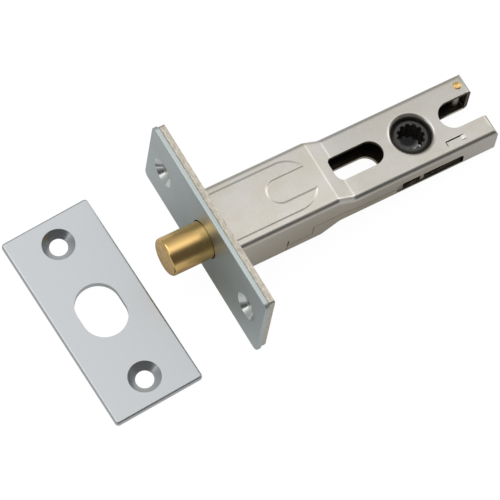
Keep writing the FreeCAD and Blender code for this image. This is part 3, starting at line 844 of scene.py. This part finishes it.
class PRIVACYBOLT_OT_case(PieceOperator, bpy.types.Operator):
    """Finish the two folded shells of the case in nickel plate, with painted shade inside"""

    bl_idname = "privacybolt.case"
    bl_label = "Case"

    def execute(self, context):
        # both shells' inner faces take the dark steel, which holds painted shade
        smooth_copy(
            "top_shell", nickel_plate, oil_and_shade_steel, inside_faces, reshape=lift_tab, crowned=True
        )
        smooth_copy("bottom_shell", nickel_plate, oil_and_shade_steel, inner_skin)
        return {"FINISHED"}


class PRIVACYBOLT_OT_bolt(PieceOperator, bpy.types.Operator):
    """Finish the turned brass bolt, with the rings faced on its end"""

    bl_idname = "privacybolt.bolt"
    bl_label = "Bolt"

    def execute(self, context):
        smooth_copy("bolt", turned_brass, faced_brass, end_faces)
        smooth_copy("bolt_rivet", zinc_plate)
        size = sizes()
        tree, key = ring_tree(shared_material(faced_brass))
        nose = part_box("bolt")[0].x
        values = {
            key["count"]: size.ring_count,
            key["pitch"]: size.ring_pitch,
            key["thick"]: size.ring_thick,
            key["face"]: nose + size.ring_thick * RING_SUNK,
        }
        mesh_from_tree("bolt_facing_rings", tree, values, BODY_OF["bolt"])
        return {"FINISHED"}


class PRIVACYBOLT_OT_mechanism(PieceOperator, bpy.types.Operator):
    """Finish the slide, the follower, the guide block and the spring"""

    bl_idname = "privacybolt.mechanism"
    bl_label = "Mechanism"

    def execute(self, context):
        # the slide's plate takes the dark steel, which holds painted shade; its lugs stay zinc
        smooth_copy("slide", oil_and_shade_steel, zinc_plate, lug_faces)
        smooth_copy("follower", moulded_nylon)
        smooth_copy("guide_block", moulded_nylon)
        smooth_copy("friction_spring", blued_steel)
        return {"FINISHED"}


class PRIVACYBOLT_OT_rivet(PieceOperator, bpy.types.Operator):
    """Finish the brass rear rivet and the spacer that it clamps"""

    bl_idname = "privacybolt.rivet"
    bl_label = "Rear rivet"

    def execute(self, context):
        smooth_copy("rear_rivet", turned_brass)
        smooth_copy("rear_spacer", zinc_plate)
        size = sizes()
        tree, key = ring_tree(shared_material(turned_brass))
        values = {
            key["count"]: 1,
            key["pitch"]: size.rivet_ring / FIRST_RING,
            key["thick"]: size.rivet_rim,
            key["face"]: 0.0,
        }
        low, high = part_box("rear_rivet")
        rim_level = high.z - size.rivet_rim * RIM_SUNK
        head = Vector(((low.x + high.x) / 2, (low.y + high.y) / 2, rim_level))
        place = Matrix.Translation(head) @ Matrix.Rotation(math.radians(90), 4, "Y")
        body, slot = BODY_OF["rear_rivet"], SLOT_OF["rear_rivet"]
        mesh_from_tree("rear_rivet_rim", tree, values, body, place)
        return {"FINISHED"}


class PRIVACYBOLT_OT_strike(PieceOperator, bpy.types.Operator):
    """Finish the strike plate in satin stainless steel"""

    bl_idname = "privacybolt.strike"
    bl_label = "Strike plate"

    def execute(self, context):
        smooth_copy("strike_plate", satin_stainless, cut_stainless, strike_cones)
        return {"FINISHED"}


# the camera, found by fitting the part's corners to the photograph's frame
CAMERA_PLACE_MM = (-328.63, -394.36, 997.04)
CAMERA_RIGHT = (0.86158, -0.49798, 0.09847)
CAMERA_UP = (0.40885, 0.79573, 0.44683)
CAMERA_LENS_MM = 324.0
SENSOR_MM = 36.0
CAMERA_CLIP = (0.05, 20.0)
FLOOR_HALF = 1.5
FLOOR_GAP = 0.03 * MM
# the floor lies under the case's end, as far in as its corner is round
TAIL_ROUND = 1.5 * MM
# the rear rivet's head stands out of the case by this much
RIVET_PROUD = 0.22 * MM
# painted shadow on the floor, seen only by metal: darker under the forend
FOREND_SHADOW_CENTRE = (-0.006, -0.003, -0.012)
FOREND_SHADOW_MIDDLE = 0.25
SHADOW_EDGE_LEVEL = 0.65
FOREND_SHADOW_RADII = (0.0, 0.033)
ROUND = (1, 1, 1)
# painted shadow of the case on the floor, seen only by metal, stretched along its length
STRIP_CENTRE = (0.033, -0.006, -0.012)
STRIP_SHAPE = (0.3, 1, 1)
STRIP_RADII = (0.007, 0.02)
STRIP_MIDDLE = 0.355
# painted warm reflection: the tint that metal sees in the case's painted shadow
STRIP_TINT = (1.0, 0.93, 0.82)
# painted shadow where the floor is seen through the follower's socket, and how dark it is there
SHADE_CENTRE = (0.0634, 0.0039, -0.0115)
SHADE_RADII = (5.5 * MM, 8 * MM)
# the follower's glossy walls see it this far out
SHADE_GLOSSY = (11 * MM, 14 * MM)
SHADE_LEVEL = 0.02
# the floor's glow, its share of what the eye sees, and the board under it
FLOOR_WHITE = 1.07
FLOOR_GLOW = 0.9
BOARD_GREY = 0.8
# the brightest that the studio's walls get, except at the tail
WALL_LEVEL = 1.3
# how bright the studio is, by the angle about the part's length: 0 is level
# behind the bolt, 90 overhead and 180 level on the camera's side
WALL_STOPS = [
    (-180, 0.3),
    (-90, 0.3),
    (-60, 0.45),
    (0, 0.42),
    (30, 0.45),
    (50, 0.62),
    (60, 0.84),
    (69, 1.02),
    (79, 1.3),
    (89, 1.3),
    (98, 0.9),
    (106, 0.4),
    (116, 0.12),
    (158, 0.1),
    (180, 0.3),
]
# the wall at the case's tail is lighter: between these X parts of the direction, by this factor
TAIL_WALL = (0.4, 0.95)
TAIL_LIGHTER = 2.2
SOFTBOX_PLACE = (-0.35, 0.5, 0.75)
SOFTBOX_TARGET = (0.02, 0, 0)
SOFTBOX_WIDTH = 0.6
SOFTBOX_WATTS = 1.2


def rest_plane():
    """A point and the tilt of the plane that the forend and the case's end rest on."""
    low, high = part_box("back_plate")
    edge = Vector((high.x, 0, low.z))
    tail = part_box("top_shell")[1].x - TAIL_ROUND
    # the case's underside lies as far down as its roof lies up
    underside = RIVET_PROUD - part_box("rear_rivet")[1].z
    return edge, math.atan2(underside - edge.z, tail - edge.x)


def make_camera():
    """The camera at the photograph's viewing angle."""
    data = bpy.data.cameras.new("camera")
    data.sensor_width = SENSOR_MM
    data.lens = CAMERA_LENS_MM
    data.clip_start, data.clip_end = CAMERA_CLIP
    camera = bpy.data.objects.new("camera", data)
    bpy.context.scene.collection.objects.link(camera)
    right, up = Vector(CAMERA_RIGHT).normalized(), Vector(CAMERA_UP).normalized()
    back = right.cross(up)
    turn = Matrix((right, up, back)).transposed()
    camera.matrix_world = Matrix.Translation(Vector(CAMERA_PLACE_MM) * MM) @ turn.to_4x4()
    bpy.context.scene.camera = camera


def background_rays(tree):
    """Two sockets: one for camera and transmission rays, and one for glossy rays."""
    path = add_node(tree, "ShaderNodeLightPath")
    seen = add_node(
        tree,
        "ShaderNodeMath",
        operation="MAXIMUM",
        links={0: path.outputs["Is Camera Ray"], 1: path.outputs["Is Transmission Ray"]},
    )
    return seen.outputs["Value"], path.outputs["Is Glossy Ray"]


def by_distance(tree, centre, stretch, radii, near, far):
    """A level that goes from near to far between two distances from a point on the floor."""
    place = add_node(tree, "ShaderNodeTexCoord")
    offset = add_node(
        tree,
        "ShaderNodeVectorMath",
        operation="SUBTRACT",
        inputs={1: centre},
        links={0: place.outputs["Object"]},
    )
    pressed = add_node(
        tree,
        "ShaderNodeVectorMath",
        operation="MULTIPLY",
        inputs={1: stretch},
        links={0: offset.outputs["Vector"]},
    )
    away = add_node(
        tree, "ShaderNodeVectorMath", operation="LENGTH", links={0: pressed.outputs["Vector"]}
    )
    level = add_node(
        tree,
        "ShaderNodeMapRange",
        interpolation_type="SMOOTHSTEP",
        inputs={"From Min": radii[0], "From Max": radii[1], "To Min": near, "To Max": far},
        links={"Value": away.outputs["Value"]},
    )
    return level.outputs["Result"]


def floor_material():
    """White board that glows for the eye, with a painted shadow under the follower's socket; metal
    sees painted shadows under the forend and along the case, tinted warm near the case.
    """
    mat = new_material("white_floor")
    tree = mat.node_tree
    seen, glossy = background_rays(tree)
    shade = by_distance(tree, SHADE_CENTRE, ROUND, SHADE_RADII, SHADE_LEVEL, FLOOR_WHITE)
    forend_shadow = by_distance(tree, FOREND_SHADOW_CENTRE, ROUND, FOREND_SHADOW_RADII, FOREND_SHADOW_MIDDLE, SHADOW_EDGE_LEVEL)
    strip = by_distance(tree, STRIP_CENTRE, STRIP_SHAPE, STRIP_RADII, STRIP_MIDDLE, SHADOW_EDGE_LEVEL)
    darker = add_node(tree, "ShaderNodeMath", operation="MINIMUM", links={0: forend_shadow, 1: strip})
    socket = by_distance(tree, SHADE_CENTRE, ROUND, SHADE_GLOSSY, SHADE_LEVEL, SHADOW_EDGE_LEVEL)
    mirror = add_node(
        tree, "ShaderNodeMath", operation="MINIMUM", links={0: darker.outputs["Value"], 1: socket}
    )
    level = add_node(
        tree, "ShaderNodeMix", links={0: glossy, 2: shade, 3: mirror.outputs["Value"]}
    )
    # painted warm reflection: metal sees the floor near the case tinted warm
    near_case = by_distance(tree, STRIP_CENTRE, STRIP_SHAPE, STRIP_RADII, 1.0, 0.0)
    tinted = add_node(
        tree, "ShaderNodeMath", operation="MULTIPLY", links={0: near_case, 1: glossy}
    )
    tint = blend_colour(tree, tinted.outputs["Value"], (1.0, 1.0, 1.0), STRIP_TINT)
    white = add_node(
        tree, "ShaderNodeEmission", links={"Color": tint, "Strength": level.outputs[0]}
    )
    # the board takes the painted shadow under the socket too
    paint = add_node(
        tree, "ShaderNodeMath", operation="MINIMUM", inputs={1: BOARD_GREY}, links={0: shade}
    )
    board = add_node(tree, "ShaderNodeBsdfDiffuse", links={"Color": paint.outputs["Value"]})
    either = add_node(tree, "ShaderNodeMath", operation="MAXIMUM", links={0: seen, 1: glossy})
    share = add_node(
        tree,
        "ShaderNodeMath",
        operation="MULTIPLY",
        inputs={1: FLOOR_GLOW},
        links={0: either.outputs["Value"]},
    )
    mix = add_node(
        tree,
        "ShaderNodeMixShader",
        links={0: share.outputs["Value"], 1: board.outputs["BSDF"], 2: white.outputs["Emission"]},
    )
    add_node(tree, "ShaderNodeOutputMaterial", links={"Surface": mix.outputs["Shader"]})
    return mat


def make_floor():
    """A square floor that the forend, the case's end and the strike plate rest on."""
    edge, tilt = rest_plane()
    along = Vector((math.cos(tilt), 0, math.sin(tilt))) * FLOOR_HALF
    across = Vector((0, FLOOR_HALF, 0))
    middle = edge - Vector((0, 0, FLOOR_GAP))
    verts = [middle + along * x + across * y for x, y in ((-1, -1), (1, -1), (1, 1), (-1, 1))]
    mesh = bpy.data.meshes.new("floor")
    mesh.from_pydata(verts, [], [(0, 1, 2, 3)])
    mesh.materials.append(floor_material())
    floor = bpy.data.objects.new("floor", mesh)
    bpy.context.scene.collection.objects.link(floor)


def make_world():
    """A soft studio: white overhead, grey behind the bolt and dark on the camera's side."""
    world = bpy.data.worlds.new("studio")
    bpy.context.scene.world = world
    world.use_nodes = True
    tree = world.node_tree
    tree.nodes.clear()
    place = add_node(tree, "ShaderNodeTexCoord")
    part = add_node(tree, "ShaderNodeSeparateXYZ", links={"Vector": place.outputs["Generated"]})
    angle = add_node(
        tree,
        "ShaderNodeMath",
        operation="ARCTAN2",
        links={0: part.outputs["Z"], 1: part.outputs["Y"]},
    )
    around = add_node(
        tree,
        "ShaderNodeMapRange",
        inputs={"From Min": -math.pi, "From Max": math.pi},
        links={"Value": angle.outputs["Value"]},
    )
    walls = add_node(tree, "ShaderNodeValToRGB", links={"Fac": around.outputs["Result"]})
    ramp = walls.color_ramp
    while len(ramp.elements) < len(WALL_STOPS):
        ramp.elements.new(0.5)
    for element, (degrees, bright) in zip(ramp.elements, WALL_STOPS):
        element.position = (degrees + 180) / 360
        element.color = (bright / WALL_LEVEL, bright / WALL_LEVEL, bright / WALL_LEVEL, 1)
    tail = add_node(
        tree,
        "ShaderNodeMapRange",
        interpolation_type="SMOOTHSTEP",
        inputs={
            "From Min": TAIL_WALL[0],
            "From Max": TAIL_WALL[1],
            "To Min": WALL_LEVEL,
            "To Max": WALL_LEVEL * TAIL_LIGHTER,
        },
        links={"Value": part.outputs["X"]},
    )
    light = add_node(
        tree,
        "ShaderNodeBackground",
        links={"Color": walls.outputs["Color"], "Strength": tail.outputs["Result"]},
    )
    white = add_node(
        tree, "ShaderNodeBackground", inputs={"Color": (1, 1, 1, 1), "Strength": 1.0}
    )
    seen, _ = background_rays(tree)
    either = add_node(
        tree,
        "ShaderNodeMixShader",
        links={0: seen, 1: light.outputs["Background"], 2: white.outputs["Background"]},
    )
    add_node(tree, "ShaderNodeOutputWorld", links={"Surface": either.outputs["Shader"]})


def make_softbox():
    """One large soft lamp above and behind the bolt."""
    data = bpy.data.lights.new("softbox", "AREA")
    data.shape = "DISK"
    data.size = SOFTBOX_WIDTH
    data.energy = SOFTBOX_WATTS
    lamp = bpy.data.objects.new("softbox", data)
    bpy.context.scene.collection.objects.link(lamp)
    lamp.location = SOFTBOX_PLACE
    lamp.rotation_mode = "QUATERNION"
    aim = Vector(SOFTBOX_TARGET) - Vector(SOFTBOX_PLACE)
    lamp.rotation_quaternion = aim.to_track_quat("-Z", "Y")


class PRIVACYBOLT_OT_stage(bpy.types.Operator):
    """Set up the camera, the white floor and the studio light"""

    bl_idname = "privacybolt.stage"
    bl_label = "Stage"

    def execute(self, context):
        make_camera()
        make_floor()
        make_world()
        make_softbox()
        context.scene.view_settings.view_transform = "Standard"
        return {"FINISHED"}


class PRIVACYBOLT_PT_panel(bpy.types.Panel):
    """The steps of the privacy bolt, in order"""

    bl_label = "Privacy bolt"
    bl_idname = "PRIVACYBOLT_PT_panel"
    bl_space_type = "VIEW_3D"
    bl_region_type = "UI"
    bl_category = "Privacy bolt"

    def draw(self, context):
        column = self.layout.column(align=True)
        for operator in OPERATORS:
            column.operator(operator.bl_idname)
        for group in (colours(), sizes()):
            box = self.layout.box()
            for name in group.__annotations__:
                box.prop(group, name)


OPERATORS = (
    PRIVACYBOLT_OT_stage,
    PRIVACYBOLT_OT_forend,
    PRIVACYBOLT_OT_case,
    PRIVACYBOLT_OT_bolt,
    PRIVACYBOLT_OT_mechanism,
    PRIVACYBOLT_OT_rivet,
    PRIVACYBOLT_OT_strike,
)
CLASSES = (PrivacyBoltColours, PrivacyBoltSizes, *OPERATORS, PRIVACYBOLT_PT_panel)


def register():
    for cls in CLASSES:
        bpy.utils.register_class(cls)
    bpy.types.Scene.privacy_bolt_colours = PointerProperty(type=PrivacyBoltColours)
    bpy.types.Scene.privacy_bolt_sizes = PointerProperty(type=PrivacyBoltSizes)


def unregister():
    del bpy.types.Scene.privacy_bolt_sizes
    del bpy.types.Scene.privacy_bolt_colours
    for cls in reversed(CLASSES):
        bpy.utils.unregister_class(cls)


def main():
    """Makes the stage and every piece."""
    register()
    bpy.ops.privacybolt.stage()
    bpy.ops.privacybolt.forend()
    bpy.ops.privacybolt.case()
    bpy.ops.privacybolt.bolt()
    bpy.ops.privacybolt.mechanism()
    bpy.ops.privacybolt.rivet()
    bpy.ops.privacybolt.strike()


if __name__ == "__main__":
    main()
